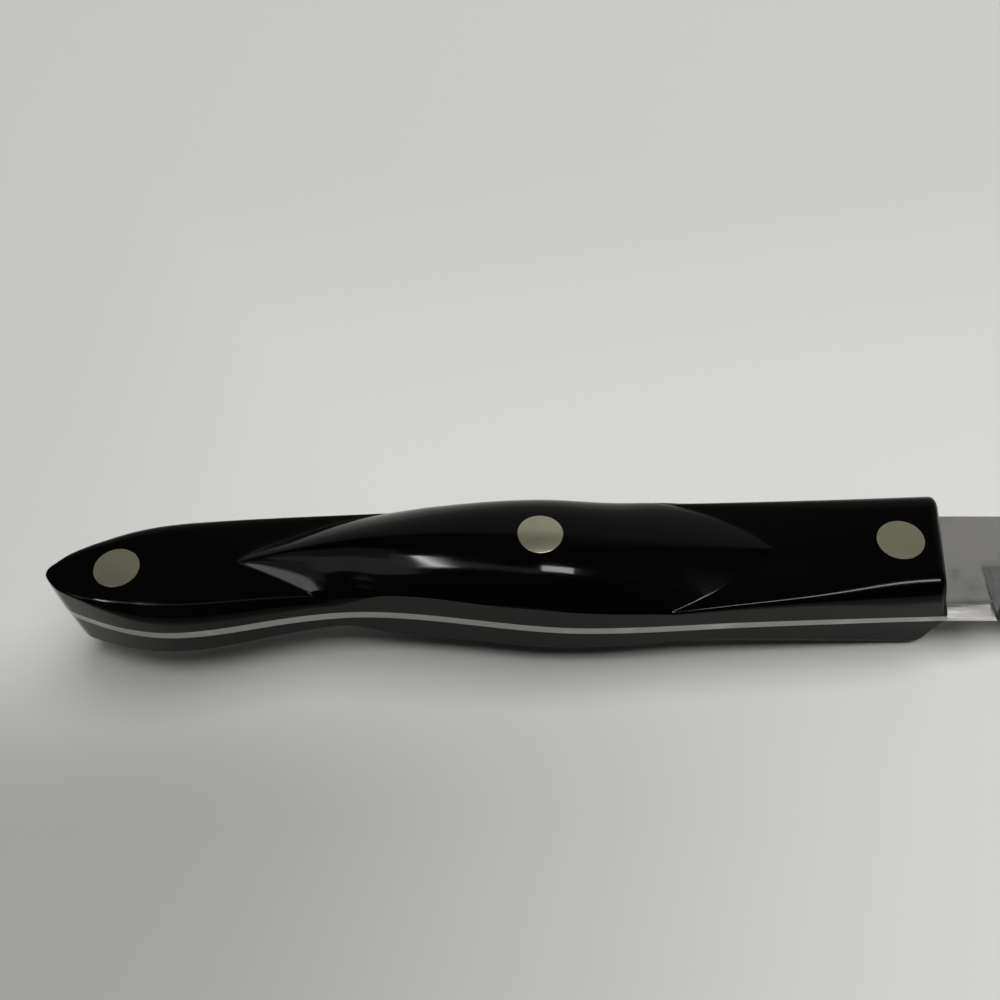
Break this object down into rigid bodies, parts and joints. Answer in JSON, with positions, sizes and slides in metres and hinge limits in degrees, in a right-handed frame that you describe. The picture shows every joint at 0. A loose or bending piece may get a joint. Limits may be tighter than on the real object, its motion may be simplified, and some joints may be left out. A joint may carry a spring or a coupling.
{
  "type": "serrated kitchen knife",
  "caption": "Serrated kitchen knife: full-tang steel blade between sculpted dark resin handle scales held by flush rivets, for slicing bread, fruit and other food with a firm skin.",
  "frame": {"origin": "middle of the footprint, on the plane that the crown of the left scale touches", "axes": "+X from the butt to the tip, +Y from the edge to the spine, +Z out of the right scale"},
  "size_m": [0.253, 0.0206, 0.0198],
  "materials": {
    "steel": "satin, ground along the blade",
    "resin": "polished, near-black brown",
    "nickel_silver": "nickel silver, ground flush and polished"
  },
  "bodies": {
    "root": {"blade": "steel", "right_scale": "resin", "left_scale": "resin", "rear_rivet_pin": "nickel_silver", "rear_rivet_sleeve": "nickel_silver", "middle_rivet_pin": "nickel_silver", "middle_rivet_sleeve": "nickel_silver", "front_rivet_pin": "nickel_silver", "front_rivet_sleeve": "nickel_silver"}
  },
  "joints": []
}
